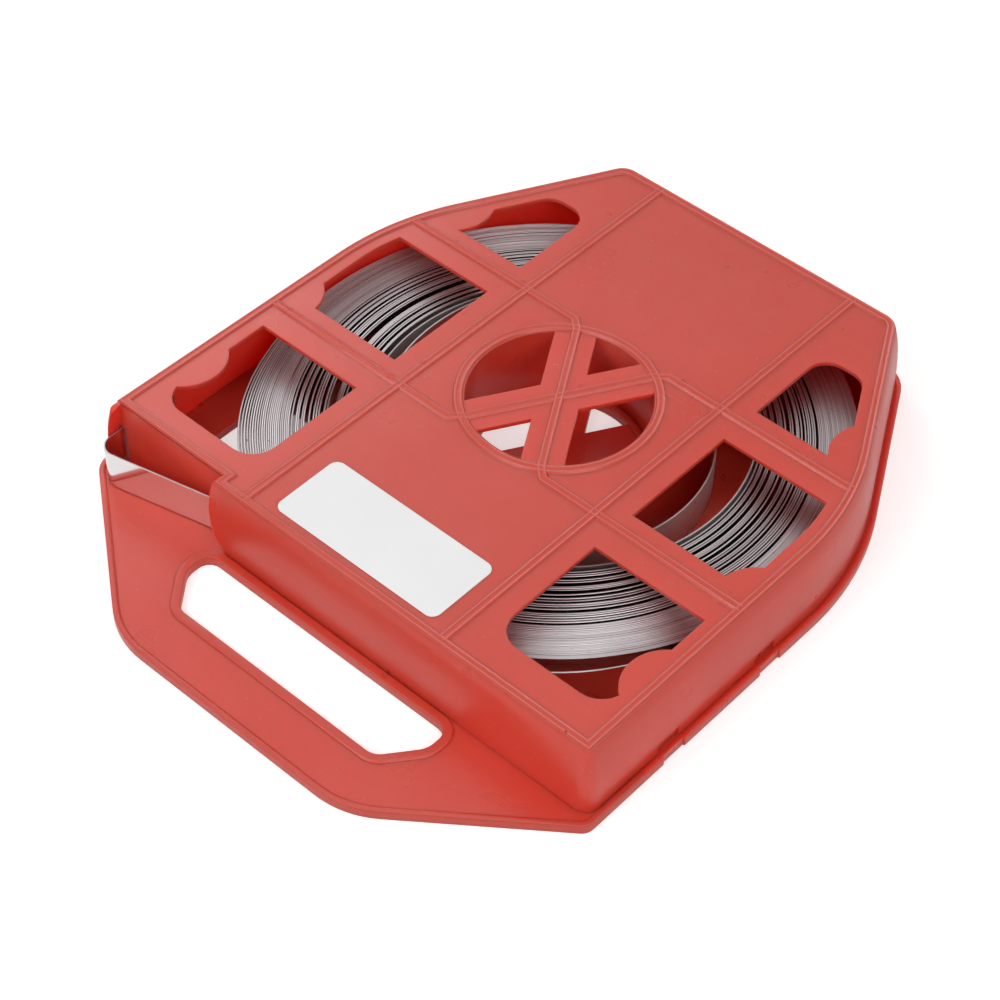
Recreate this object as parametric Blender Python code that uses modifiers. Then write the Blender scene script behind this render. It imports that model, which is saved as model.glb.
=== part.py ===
"""Steel banding strap in its moulded dispenser case: a loose coil lying on the base plate under a
windowed top shell. Its outer end comes out of a slit in the front, makes a loop and is tucked back in
beside the side wall."""

import math

import bmesh
import bpy
from mathutils import Matrix, Vector

MM = 0.001

# Overall plan, in millimetres: the hub axis is the origin, -Y is the handle end
HALF_WIDTH = 130.5  # hub axis to the top edge of a side wall
FRONT_REACH = 1.3  # how much further from the hub the front wall is than a side wall
BACK_REACH = 2.7
SIDE_SLANT = 28.5  # degrees between a rear side wall and the Y axis
SIDE_FLARE = 2.7  # how much further out the left side stands at the front, by the strap's outlet
BACK_CORNER_R = 9.0
FRONT_CORNER_R = 3.0

# Heights
BASE_T = 3.8
CASE_H = 34.8  # base plate to the top of the panel
BEAD_H = 0.95  # ridges and rims above the face that they stand on
FIT = 0.3  # clearance between pieces that rest on each other

# Walls
WALL = 2.0
PANEL_T = 2.0
WALL_SPREAD = 3.4  # how much further out a wall stands at its foot
EDGE_R = 1.2

# Ridges on the cover: two rounded shoulders with a shallow channel between them
RIDGE_HALF = 2.0
SHOULDER_OUT = 1.3  # middle of the ridge to a shoulder's crest
CHANNEL_HALF = 0.65
CHANNEL_DEPTH = 0.35
ROOT = 0.9  # how deep a ridge is sunk into its plate
RIM_INSET = 2.2
NICK_X = 118.6  # a nick in the front rim
NICK_W = 1.2

# Hub
HUB_R = 39.7
BASE_HUB_R = 35.9
ARM_ANGLE = 59.0  # degrees between an arm of the cross and the X axis
ARM_W = 18.0
HUB_BEAD_R = 42.4

# Ribs on the panel
RIB_SHARE = 0.4138  # of the half width, where a rib runs along the case
RIB_Y = 40.0
RIB_KNEE = 4.5  # where a cross rib turns in to the hub
CREST_STEP = 0.1  # each rib's crest lies this much under the last, so that none meets another edge on

# Windows
WINDOW_FROM_RIB = 11.8
WINDOW_MARGIN = 8.8
FRONT_WINDOW_EDGE = 18.8  # front edge of the first window, from the front wall
FRONT_WINDOW_BACK = -53.5
MIDDLE_WINDOW = (-30.7, 27.7)
BACK_WINDOW_FRONT = 48.7
BACK_WINDOW_END = 21.1  # width of the last window at its back edge
WINDOW_CORNER_R = 12.0
BACK_WINDOW_R = 10.0
LOBE_R = 19.0
LOBES = ((2.5, -89.0), (1.5, -33.0), (2.1, 61.0))  # pads in the windows: how far outside the wall, and y

# Base plate and handle
FLANGE = 3.3  # base plate beyond the foot of the walls
RIM_W = 2.7
RIM_CREST = 1.35
HANDLE_BAR = 26.4  # handle in front of the hand hole
HANDLE_HALF = 63.5
HANDLE_CORNER_R = 43.0
SHOULDER_REACH = 6.2  # handle's shoulders, in front of the front wall
SHOULDER_R = 6.0
LEFT_SHOULDER_R = 12.0
GRIP_REACH = 8.0  # hand hole's back edge, in front of the front wall
GRIP_DEPTH = 28.5
GRIP_SLOPE = 12.2  # from the hole's back edge to where its ends start to slope in
GRIP_HALF = 67.5
GRIP_FRONT_HALF = 54.5
GRIP_R = 8.0
LIP_W = 4.2  # raised lip round the hand hole
LIP_FLAT = 3.0
HUB_LIP_W = 3.0
FEED_MARGIN = 15.5  # from the side wall to the feed window
FEED_FRONT_R = 8.0
FEED_BACK_R = 4.0
LIP_MARGIN = 0.15  # flat left between a lip and the edge beside it

# Latches that hold the two halves together, two on each side
LATCH_Y = (-87.5, -28.0)
LATCH_W = 12.5
LATCH_NOTCH = 0.8  # how far the flange is cut in beside a latch
LATCH_POCKET = 1.2
LATCH_H = 5.0

# Underside of the base plate
SOLE_DEPTH = 1.4
SOLE_RIM = 3.2

# Strap outlet at the front left
RECESS_STEP = 5.3  # how far the wall is set back
RECESS_SHARE = 0.4667  # its length, of the half width
LIP_NOSE = 1.5  # how far the recess's right face bulges below its top edge
LIP_FOOT = 7.5  # how far it draws back at the foot
FIN_T = 2.7
FIN_FALL = 3.0  # how much lower the fin's top is at its front end
OUTLET_W = 4.6
OUTLET_EDGE = 0.3  # from the inside of the left wall to the outlet
OUTLET_OVER = 1.5  # outlet above the strap's upper edge
SLIT_GAP = 0.7  # each side of the strap where it comes out of the case

# Strap
STRAP_W = 19.0
STRAP_T = 0.7
STRIP_INSET = 0.1  # a loose turn's edges lie this far inside the coil's ends
COIL_CENTRE = (-1.2, -1.6)
COIL_PLAY = 1.7  # how much smaller the coil's radius is than the half width
BORE_SHARE = 0.6366  # of the coil's radius
GROOVES = 6
GROOVE_DEPTH = 0.9
COIL_SEGMENTS = 64
OUTER_START = 0.0  # degrees at which the outermost turn leaves the coil
OUTER_END = -90.0
OUTER_BULGE = 5.3  # how far it springs out into the case's front corner
OUTER_DRIFT = 1.6
OUTER_POINTS = 12
OUTER_BEND = 23.6  # how far before the recess it turns towards the slit
LOOP_REACH = 1.4  # middle of the loop, in front of the front wall
LOOP_R = 7.0
LOOP_TURN = 103.5
TAIL_L = 34.7  # how far behind the front wall the free end lies
LOOSE_START = 148.0  # degrees at which the innermost turn leaves the coil
LOOSE_END = 400.0
LOOSE_SLACK = 6.5
LOOSE_SETTLE = 25.0
LOOSE_CURL = 12.0
LOOSE_POINTS = 28

# Label
LABEL_MARGIN = 10.25  # from a rib to the label
LABEL_L = 36.0
LABEL_R = 4.3
LABEL_FROM_FRONT = 25.2  # front wall to the label's middle
LABEL_SHIFT = 1.4  # how far to the right of the hub's line it was stuck on
LABEL_T = 0.3
LABEL_GAP = 0.1

FRONT = HALF_WIDTH + FRONT_REACH
BACK = HALF_WIDTH + BACK_REACH
RIB_X = HALF_WIDTH * RIB_SHARE
WINDOW_IN = RIB_X + WINDOW_FROM_RIB
WINDOW_OUT = HALF_WIDTH - WINDOW_MARGIN
SLANT = math.radians(SIDE_SLANT)
FRONT_WINDOW = (FRONT_WINDOW_EDGE - FRONT, FRONT_WINDOW_BACK)
BACK_WINDOW_BACK = (WINDOW_OUT - (WINDOW_IN + BACK_WINDOW_END) * math.cos(SLANT)) / math.sin(SLANT)
BACK_WINDOW = (BACK_WINDOW_FRONT, BACK_WINDOW_BACK)
FEED_WINDOW = (FEED_MARGIN - HALF_WIDTH, -WINDOW_IN, *FRONT_WINDOW)
RECESS_Y = FRONT - RECESS_STEP
RECESS_RIGHT = HALF_WIDTH * (RECESS_SHARE - 1)
SHOULDER_Y = FRONT + SHOULDER_REACH
GRIP_BACK = FRONT + GRIP_REACH
GRIP_WAIST = GRIP_BACK + GRIP_SLOPE
GRIP_FRONT = GRIP_BACK + GRIP_DEPTH
HANDLE_FRONT = GRIP_FRONT + HANDLE_BAR
COIL_R = HALF_WIDTH - COIL_PLAY
BORE_R = COIL_R * BORE_SHARE
LOOP_Y = FRONT + LOOP_REACH
LABEL_W = 2 * (RIB_X - LABEL_MARGIN)
LABEL_Y = LABEL_FROM_FRONT - FRONT
TOP_Z = BASE_T + CASE_H
SHELL_FOOT = BASE_T + FIT
STRAP_Z = BASE_T + FIT
STRAP_TOP = STRAP_Z + STRAP_W
CLEAR = 5.0  # how far a cutter runs past the face that it cuts
SEGMENTS = 72
RECESS_STEPS = 14


def clear_scene():
    for obj in list(bpy.data.objects):
        bpy.data.objects.remove(obj, do_unlink=True)


def new_collection(name):
    collection = bpy.data.collections.new(name)
    bpy.context.scene.collection.children.link(collection)
    return collection


def material(name, colour, roughness, metallic=0.0):
    made = bpy.data.materials.new(name)
    made.use_nodes = True
    shader = made.node_tree.nodes["Principled BSDF"]
    shader.inputs["Base Color"].default_value = (*colour, 1.0)
    shader.inputs["Roughness"].default_value = roughness
    shader.inputs["Metallic"].default_value = metallic
    return made


def link_mesh(name, mesh, collection):
    obj = bpy.data.objects.new(name, mesh)
    collection.objects.link(obj)
    return obj


def from_bmesh(name, bm, collection):
    bmesh.ops.recalc_face_normals(bm, faces=bm.faces)
    mesh = bpy.data.meshes.new(name)
    bm.to_mesh(mesh)
    bm.free()
    return link_mesh(name, mesh, collection)


def closed_curve(name, outline, collection):
    """A flat closed curve of straight lines through the outline's points."""
    curve = bpy.data.curves.new(name, "CURVE")
    curve.dimensions = "2D"
    spline = curve.splines.new("POLY")
    spline.points.add(len(outline) - 1)
    for target, (x, y) in zip(spline.points, outline):
        target.co = (x * MM, y * MM, 0.0, 1.0)
    spline.use_cyclic_u = True
    obj = bpy.data.objects.new(name, curve)
    collection.objects.link(obj)
    return obj


def slab(name, outline, low, high, collection):
    """A flat outline extruded from one height to another; the curve that it comes from is removed."""
    curve = closed_curve(name + "_outline", outline, collection)
    curve.data.fill_mode = "BOTH"
    curve.data.extrude = (high - low) / 2 * MM
    curve.location.z = (low + high) / 2 * MM
    bpy.context.view_layer.update()
    graph = bpy.context.evaluated_depsgraph_get()
    mesh = bpy.data.meshes.new_from_object(curve.evaluated_get(graph))
    bm = bmesh.new()
    bm.from_mesh(mesh)
    bmesh.ops.remove_doubles(bm, verts=bm.verts, dist=0.00001)
    bmesh.ops.recalc_face_normals(bm, faces=bm.faces)
    bm.to_mesh(mesh)
    bm.free()
    obj = link_mesh(name, mesh, collection)
    obj.matrix_world = curve.matrix_world.copy()
    bpy.data.objects.remove(curve, do_unlink=True)
    return obj


def ridge_section(drop):
    """Half of the cover's ridge, from its foot to its middle, as distance out and height."""
    crest = BEAD_H - drop
    side = (RIDGE_HALF + SHOULDER_OUT) / 2
    half = [
        (RIDGE_HALF, -ROOT), (RIDGE_HALF, 0.0), (side, crest * 0.75), (SHOULDER_OUT, crest),
        (CHANNEL_HALF, crest - CHANNEL_DEPTH),
    ]
    return half + [(-s, z) for s, z in reversed(half)]


def lip_section(width, flat):
    """A lip with a flat top that falls off to its outer foot, measured from its inner side."""
    return [
        (0.0, -ROOT), (0.0, BEAD_H * 0.6), (width * 0.12, BEAD_H), (flat, BEAD_H),
        ((flat + width) / 2, BEAD_H * 0.75), (width, 0.0), (width, -ROOT),
    ]


def sweep(name, path, section, height, collection, cyclic=False):
    """A closed section carried along a level path with mitred corners. A positive distance in the section
    lies to the right of the way that the path runs."""
    bm = bmesh.new()
    count = len(path)
    loops = []
    for i in range(count):
        here = Vector(path[i])
        ahead = Vector(path[(i + 1) % count]) - here if cyclic or i < count - 1 else None
        back = here - Vector(path[i - 1]) if cyclic or i > 0 else ahead
        ahead = (ahead or back).normalized()
        along = (back.normalized() + ahead).normalized()
        right = Vector((along.y, -along.x)) / along.dot(ahead)
        ring = [here + right * out for out, up in section]
        loops.append([
            bm.verts.new((point.x * MM, point.y * MM, (height + up) * MM))
            for point, (out, up) in zip(ring, section)
        ])
    steps = count if cyclic else count - 1
    for i in range(steps):
        low, high = loops[i], loops[(i + 1) % count]
        for j in range(len(section)):
            k = (j + 1) % len(section)
            bm.faces.new((low[j], low[k], high[k], high[j]))
    if not cyclic:
        bm.faces.new(loops[0][::-1])
        bm.faces.new(loops[-1])
    return from_bmesh(name, bm, collection)


def cylinder(name, radius, low, high, collection, centre=(0.0, 0.0)):
    bm = bmesh.new()
    place = Matrix.Translation((centre[0] * MM, centre[1] * MM, (low + high) / 2 * MM))
    bmesh.ops.create_cone(
        bm, cap_ends=True, segments=SEGMENTS, radius1=radius * MM, radius2=radius * MM,
        depth=(high - low) * MM, matrix=place,
    )
    return from_bmesh(name, bm, collection)


def box(name, low, high, collection, turn=0.0, axis="Z", origin=(0.0, 0.0, 0.0)):
    """A block between two corners, turned about an axis through its own zero, which is put at the origin."""
    bm = bmesh.new()
    size = [(b - a) * MM for a, b in zip(low, high)]
    middle = [(a + b) / 2 * MM for a, b in zip(low, high)]
    shift = Matrix.Translation([c * MM for c in origin])
    place = shift @ Matrix.Rotation(turn, 4, axis) @ Matrix.Translation(middle) @ Matrix.Diagonal((*size, 1.0))
    bmesh.ops.create_cube(bm, size=1.0, matrix=place)
    return from_bmesh(name, bm, collection)


def loft(name, rings, collection):
    """A closed body through level rings of equally many points; each ring is (outline, height)."""
    bm = bmesh.new()
    loops = [[bm.verts.new((x * MM, y * MM, z * MM)) for x, y in outline] for outline, z in rings]
    for lower, upper in zip(loops, loops[1:]):
        for i in range(len(lower)):
            j = (i + 1) % len(lower)
            bm.faces.new((lower[i], lower[j], upper[j], upper[i]))
    bm.faces.new(loops[0][::-1])
    bm.faces.new(loops[-1])
    return from_bmesh(name, bm, collection)


def combine(target, other, operation):
    modifier = target.modifiers.new(operation.lower() + "_" + other.name, "BOOLEAN")
    modifier.operation = operation
    modifier.solver = "EXACT"
    modifier.object = other
    other.hide_render = True
    other.display_type = "WIRE"
    return target


def rounded(corners):
    """Points of a closed outline whose corners are given as x, y, radius and number of chords."""
    points = []
    count = len(corners)
    for i, (x, y, radius, chords) in enumerate(corners):
        here = Vector((x, y))
        back = (Vector(corners[i - 1][:2]) - here).normalized()
        ahead = (Vector(corners[(i + 1) % count][:2]) - here).normalized()
        if radius <= 0:
            points.append((x, y))
            continue
        half = back.angle(ahead) / 2
        centre = here + (back + ahead).normalized() * radius / math.sin(half)
        start = here + back * radius / math.tan(half) - centre
        end = here + ahead * radius / math.tan(half) - centre
        turn = start.angle_signed(end)
        for step in range(chords + 1):
            arm = start.copy()
            arm.rotate(Matrix.Rotation(-turn * step / chords, 2))
            points.append((centre.x + arm.x, centre.y + arm.y))
    return points


def circle_arc(radius, start, end, chords, centre=(0.0, 0.0)):
    angles = [math.radians(start + (end - start) * i / chords) for i in range(chords + 1)]
    return [(centre[0] + radius * math.cos(a), centre[1] + radius * math.sin(a)) for a in angles]


def slant_x(half, y):
    """How far out the slanted rear wall is at this y, for a case of this half width."""
    return (half - y * math.sin(SLANT)) / math.cos(SLANT)


def flare(y):
    """How far the left side stands out at this y: steadily more from the bend to the front."""
    bend = HALF_WIDTH * math.tan(SLANT / 2)
    return SIDE_FLARE * (bend - y) / (bend + FRONT)


def flare_of(side, y):
    return flare(y) if side < 0 else 0.0


def case_outline(grow):
    """The case's plan with every side moved out by this much."""
    half = HALF_WIDTH + grow
    back = BACK + grow
    bend = half * math.tan(SLANT / 2)
    corner = max(BACK_CORNER_R + grow, 1.0)
    front_corner = max(FRONT_CORNER_R + grow, 1.0)
    right = [
        (half, -FRONT - grow, front_corner, 4),
        (half, bend, half, 12),
        (slant_x(half, back), back, corner, 5),
    ]
    left = [(-x, y, r, n) for x, y, r, n in right]
    left[0] = (-half - SIDE_FLARE, *left[0][1:])
    return rounded(right + left[::-1])


def spread(height):
    """How far the wall stands outside its top edge: quick below the edge, then steady."""
    share = (TOP_Z - height) / (TOP_Z - SHELL_FOOT)
    return WALL_SPREAD * (1 - (1 - share) ** 3)


def wall_heights(low, high, steps=6):
    return [low + (high - low) * i / steps for i in range(steps + 1)]


def shell_body(work):
    under_edge = TOP_Z - EDGE_R
    rings = [(case_outline(spread(z)), z) for z in wall_heights(SHELL_FOOT, under_edge)]
    rings.append((case_outline(-EDGE_R * 0.3), TOP_Z - EDGE_R * 0.3))
    rings.append((case_outline(-EDGE_R), TOP_Z))
    body = loft("shell_body", rings, work)

    below = SHELL_FOOT - CLEAR
    room = [(case_outline(spread(SHELL_FOOT) - WALL), below)]
    ceiling = TOP_Z - PANEL_T
    room += [(case_outline(spread(z) - WALL), z) for z in wall_heights(SHELL_FOOT, ceiling)]
    cavity = loft("shell_room", room, work)
    combine(cavity, recess_block("recess_wall", WALL, 2 * HALF_WIDTH, work), "DIFFERENCE")
    combine(body, cavity, "DIFFERENCE")
    combine(body, recess_block("recess", 0.0, None, work), "DIFFERENCE")
    fall = math.atan2(FIN_FALL, FRONT + WALL_SPREAD - RECESS_Y)
    shoulder = box(
        "fin_shoulder", (-2 * HALF_WIDTH, -2 * CLEAR, 0.0), (RECESS_RIGHT - CLEAR, 0.0, 2 * CLEAR), work,
        fall, "X", (0.0, -RECESS_Y, TOP_Z),
    )
    combine(body, shoulder, "DIFFERENCE")
    return body


def lip_x(height):
    """The recess's right face: it bulges a little below the top edge and draws back at the foot."""
    share = (TOP_Z - min(max(height, SHELL_FOOT), TOP_Z)) / (TOP_Z - SHELL_FOOT)
    return RECESS_RIGHT - LIP_NOSE * math.sin(math.pi * share ** 0.6) + LIP_FOOT * share ** 5


def recess_block(name, grow, reach, work):
    """The space in front of the recessed wall, beside the fin, or out to this reach and grown by a wall."""
    rings = []
    for z in wall_heights(SHELL_FOOT - CLEAR, TOP_Z + CLEAR, RECESS_STEPS):
        fin = -(HALF_WIDTH + SIDE_FLARE + spread(min(max(z, SHELL_FOOT), TOP_Z)) - FIN_T)
        left = fin if reach is None else -reach
        right = lip_x(z) + grow
        back = -RECESS_Y + grow
        outline = [(left, back), (left, -2 * FRONT), (right, -2 * FRONT), (right, back)]
        rings.append((outline, z))
    return loft(name, rings, work)


def wall_x(y):
    """How far out the top edge of a side wall is at this y."""
    return min(HALF_WIDTH, slant_x(HALF_WIDTH, y))


def window_outline(span, side):
    low, high = span
    out = WINDOW_OUT
    if low > 0:
        far = [(slant_x(out, low), low, 0, 0), (slant_x(out, high), high, BACK_WINDOW_R, 6)]
        corners = [(WINDOW_IN, low, 0, 0), *far, (WINDOW_IN, high, BACK_WINDOW_R, 6)]
    elif high > 0:
        top = math.sqrt(out ** 2 - high ** 2)
        corners = [(WINDOW_IN, low, 0, 0), (out, low, 0, 0), (out, high / 2, 3 * high, 4),
                   (top, high, 0, 0), (WINDOW_IN, high, 0, 0)]
    else:
        corners = [(WINDOW_IN, low, WINDOW_CORNER_R, 6), (out, low, WINDOW_CORNER_R, 6),
                   (out, high, 0, 0), (WINDOW_IN, high, 0, 0)]
    if side < 0:
        corners = [(-x, y, r, n) for x, y, r, n in reversed(corners)]
    return rounded(corners)


def cut_windows(body, work):
    rows = zip((FRONT_WINDOW, MIDDLE_WINDOW, BACK_WINDOW), LOBES)
    for row, (span, (outside, lobe_y)) in enumerate(rows):
        for side in (-1, 1):
            name = f"window_{row}_{'left' if side < 0 else 'right'}"
            outline = window_outline(span, side)
            cutter = slab(name, outline, TOP_Z - PANEL_T - CLEAR / 2, TOP_Z + CLEAR / 2, work)
            pad = cylinder(
                name + "_pad", LOBE_R, TOP_Z - PANEL_T - CLEAR, TOP_Z + CLEAR, work,
                (side * (wall_x(lobe_y) + outside), lobe_y),
            )
            combine(cutter, pad, "DIFFERENCE")
            combine(body, cutter, "DIFFERENCE")


def add_cross(body, ring_r, low, high, work, name):
    """Two arms across the hub, ending inside its wall."""
    for sign in (-1, 1):
        reach = ring_r + WALL / 2
        arm = box(
            f"{name}_arm_{sign}", (-reach, -ARM_W / 2, low), (reach, ARM_W / 2, high), work,
            sign * math.radians(ARM_ANGLE),
        )
        combine(body, arm, "UNION")


def add_hub(body, work):
    post = cylinder("hub_post", HUB_R + WALL, SHELL_FOOT, TOP_Z - PANEL_T / 2, work)
    combine(body, post, "UNION")
    bore = cylinder("hub_bore", HUB_R, SHELL_FOOT - CLEAR, TOP_Z + CLEAR, work)
    combine(body, bore, "DIFFERENCE")
    add_cross(body, HUB_R, TOP_Z - PANEL_T - 0.2, TOP_Z - 0.05, work, "top")
    ring = circle_arc(HUB_BEAD_R, 0, 360, SEGMENTS)[:-1]
    hub_ring = sweep("hub_ring", ring, ridge_section(CREST_STEP / 2), TOP_Z, work, cyclic=True)
    combine(body, hub_ring, "UNION")


def panel_ribs():
    """Paths of the panel's ribs: two along Y, and two across that follow an arm of the hub's cross."""
    paths = [[(x, -FRONT + RIM_INSET), (x, BACK - RIM_INSET)] for x in (-RIB_X, RIB_X)]
    half = HALF_WIDTH - RIM_INSET
    rear = math.sqrt(half ** 2 - RIB_Y ** 2)
    foot = RIB_Y / math.tan(math.radians(ARM_ANGLE))
    knee = RIB_Y - RIB_KNEE
    for side in (-1, 1):
        inward = [(half, RIB_Y), (foot + RIB_KNEE / 2, RIB_Y), (foot * knee / RIB_Y, knee)]
        reach = half + flare_of(-side, -RIB_Y)
        front = [(-side * reach, -RIB_Y)] + [(-side * x, -y) for x, y in inward[1:]]
        back = [(side * min(x, rear), y) for x, y in reversed(inward)]
        paths.append(front + back)
    return paths


def rim_path():
    """The rim bead's path: the case's plan, drawn in, and stepped back along the recess."""
    half = HALF_WIDTH - RIM_INSET
    back = BACK - RIM_INSET
    front = -(FRONT - RIM_INSET)
    inner = -(RECESS_Y - RIM_INSET)
    step = RECESS_RIGHT + RIM_INSET
    bend = half * math.tan(SLANT / 2)
    corner = BACK_CORNER_R - RIM_INSET
    return rounded([
        (half, front, 0, 0), (half, bend, half, 12), (slant_x(half, back), back, corner, 5),
        (-slant_x(half, back), back, corner, 5), (-half, bend, half, 12),
        (-half - flare(inner), inner, 0, 0), (step, inner, 0, 0), (step, front, 0, 0),
    ])


def cut_strap_ways(body, work):
    """The slit that the strap comes out of, and the outlet beside the side wall for its tucked end."""
    inner_face = -(HALF_WIDTH + flare(-RECESS_Y) + spread(STRAP_Z) - WALL)
    outlet = box(
        "outlet", (inner_face + OUTLET_EDGE, -RECESS_Y - 1, SHELL_FOOT - 1),
        (inner_face + OUTLET_W, -RECESS_Y + WALL + 1, STRAP_TOP + OUTLET_OVER), work,
    )
    combine(body, outlet, "DIFFERENCE")
    reach = STRAP_T / 2 + SLIT_GAP
    left = RECESS_RIGHT - LIP_NOSE
    right = RECESS_RIGHT + LIP_FOOT + WALL
    slit = box(
        "slit", (left, run_y(left) - reach, STRAP_Z - 1),
        (right, run_y(right) + reach, STRAP_TOP + OUTLET_OVER), work,
    )
    combine(body, slit, "DIFFERENCE")


def cut_latch_pockets(body, work):
    for side in (-1, 1):
        for i, y in enumerate(LATCH_Y):
            foot = HALF_WIDTH + WALL_SPREAD + flare_of(side, y) - LATCH_POCKET
            inner, outer = sorted((side * foot, side * (foot + CLEAR)))
            pocket = box(
                f"pocket_{i}_{side}", (inner, y - LATCH_W / 2, SHELL_FOOT - 1),
                (outer, y + LATCH_W / 2, SHELL_FOOT + LATCH_H), work,
            )
            combine(body, pocket, "DIFFERENCE")


def make_case_top(parts, work, plastic):
    body = shell_body(work)
    add_hub(body, work)
    cut_windows(body, work)
    combine(body, sweep("rim", rim_path(), ridge_section(0.0), TOP_Z, work, cyclic=True), "UNION")
    for i, path in enumerate(panel_ribs()):
        rib = sweep(f"rib_{i}", path, ridge_section((i + 1) * CREST_STEP), TOP_Z, work)
        combine(body, rib, "UNION")
    nick = box(
        "nick", (NICK_X - NICK_W / 2, -FRONT - CLEAR, TOP_Z + BEAD_H / 4),
        (NICK_X + NICK_W / 2, -FRONT + RIM_INSET, TOP_Z + CLEAR), work,
    )
    combine(body, nick, "DIFFERENCE")
    cut_strap_ways(body, work)
    cut_latch_pockets(body, work)
    return finish(body, "case_top", parts, plastic)


def base_outline(inset=0.0):
    half = HALF_WIDTH + WALL_SPREAD + FLANGE - inset
    back = BACK + WALL_SPREAD + FLANGE - inset
    slope = math.atan2(HANDLE_FRONT - SHOULDER_Y, HALF_WIDTH + WALL_SPREAD + FLANGE - HANDLE_HALF)
    shoulder = SHOULDER_Y - inset * math.tan(math.pi / 4 - slope / 2)
    front = HANDLE_FRONT - inset
    handle = HANDLE_HALF - inset * math.tan(slope / 2)
    bend = half * math.tan(SLANT / 2)
    right = [
        (handle, -front, HANDLE_CORNER_R - inset, 8),
        (half, -shoulder, SHOULDER_R - inset, 4),
        (half, bend, half, 12),
        (slant_x(half, back), back, BACK_CORNER_R + WALL_SPREAD + FLANGE - inset, 5),
    ]
    left = [(-x, y, r, n) for x, y, r, n in right]
    out = half + SIDE_FLARE
    left[1] = (-out, SIDE_FLARE * math.tan(slope) - shoulder, LEFT_SHOULDER_R - inset, 5)
    return rounded(right + left[::-1])


def grip_outline(grow=0.0):
    corners = [
        (GRIP_FRONT_HALF + grow * 0.6, -GRIP_FRONT - grow, GRIP_R + grow, 5),
        (GRIP_HALF + grow, -GRIP_WAIST - grow * 0.3, GRIP_R + 2 + grow, 4),
        (GRIP_HALF + grow, -GRIP_BACK + grow, GRIP_R * 0.75 + grow, 5),
    ]
    return rounded(corners + [(-x, y, r, n) for x, y, r, n in reversed(corners)])


def make_case_base(parts, work, plastic):
    plate = slab("plate", base_outline(), 0.0, BASE_T, work)
    grip = slab("grip", grip_outline(), -CLEAR, BASE_T + CLEAR, work)
    x_low, x_high, y_low, y_high = FEED_WINDOW
    feed_corners = [
        (x_low, y_low, FEED_FRONT_R, 5), (x_high, y_low, FEED_FRONT_R, 5),
        (x_high, y_high, FEED_BACK_R, 3), (x_low, y_high, FEED_BACK_R, 3),
    ]
    feed = slab("feed", rounded(feed_corners), -CLEAR, BASE_T + CLEAR, work)
    bore = cylinder("base_bore", BASE_HUB_R, -CLEAR, BASE_T + CLEAR, work)
    rim_line = base_outline(LIP_MARGIN)[::-1]
    rim = sweep("base_rim", rim_line, lip_section(RIM_W, RIM_CREST), BASE_T, work, cyclic=True)
    combine(plate, rim, "UNION")
    lip_line = grip_outline(LIP_MARGIN)
    lip = sweep("grip_lip", lip_line, lip_section(LIP_W, LIP_FLAT), BASE_T, work, cyclic=True)
    combine(plate, lip, "UNION")
    ring = circle_arc(BASE_HUB_R + LIP_MARGIN, 0, 360, SEGMENTS)[:-1]
    base_ring = sweep("base_ring", ring, lip_section(HUB_LIP_W, HUB_LIP_W / 2), BASE_T, work, cyclic=True)
    combine(plate, base_ring, "UNION")
    for cutter in (sole_hollow(work), grip, feed, bore):
        combine(plate, cutter, "DIFFERENCE")
    cut_latch_notches(plate, work)
    add_cross(plate, BASE_HUB_R, 0.0, BASE_T, work, "base")
    return finish(plate, "case_base", parts, plastic)


def sole_hollow(work):
    """The underside between the rims that the base plate stands on."""
    hollow = slab("sole", base_outline(SOLE_RIM), -CLEAR, SOLE_DEPTH, work)
    x_low, x_high, y_low, y_high = FEED_WINDOW
    keep_feed = box(
        "sole_feed", (x_low - SOLE_RIM, y_low - SOLE_RIM, -2 * CLEAR),
        (x_high + SOLE_RIM, y_high + SOLE_RIM, CLEAR), work,
    )
    keep_grip = slab("sole_grip", grip_outline(SOLE_RIM), -2 * CLEAR, CLEAR, work)
    keep_hub = cylinder("sole_hub", BASE_HUB_R + SOLE_RIM, -2 * CLEAR, CLEAR, work)
    for keep in (keep_feed, keep_grip, keep_hub):
        combine(hollow, keep, "DIFFERENCE")
    return hollow


def cut_latch_notches(plate, work):
    for side in (-1, 1):
        for i, y in enumerate(LATCH_Y):
            edge = HALF_WIDTH + WALL_SPREAD + FLANGE + flare_of(side, y) - LATCH_NOTCH
            inner, outer = sorted((side * edge, side * (edge + CLEAR)))
            notch = box(
                f"notch_{i}_{side}", (inner, y - LATCH_W / 2, -CLEAR),
                (outer, y + LATCH_W / 2, BASE_T + CLEAR), work,
            )
            combine(plate, notch, "DIFFERENCE")


def coil_profile():
    """Half section of the coil: its ends are grooved between groups of turns."""
    pitch = (COIL_R - BORE_R) / GROOVES
    top = []
    for i in range(GROOVES):
        start = BORE_R + i * pitch
        width = pitch * (0.34 - 0.22 * i / (GROOVES - 1))
        top.append((start, STRAP_TOP))
        top.append((start + pitch - width, STRAP_TOP))
        top.append((start + pitch - width / 2, STRAP_TOP - GROOVE_DEPTH))
    top[-1] = (COIL_R, STRAP_TOP)
    bottom = [(r, STRAP_Z + STRAP_TOP - z) for r, z in reversed(top)]
    return top + bottom


def turned_coil(work):
    profile = coil_profile()
    mesh = bpy.data.meshes.new("coil")
    points = [(r * MM, 0.0, z * MM) for r, z in profile]
    edges = [(i, (i + 1) % len(points)) for i in range(len(points))]
    mesh.from_pydata(points, edges, [])
    obj = link_mesh("coil", mesh, work)
    obj.location = (COIL_CENTRE[0] * MM, COIL_CENTRE[1] * MM, 0.0)
    screw = obj.modifiers.new("turn", "SCREW")
    screw.axis = "Z"
    screw.angle = 2 * math.pi
    screw.steps = screw.render_steps = COIL_SEGMENTS
    screw.use_merge_vertices = True
    screw.merge_threshold = 0.00001
    return obj


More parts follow.
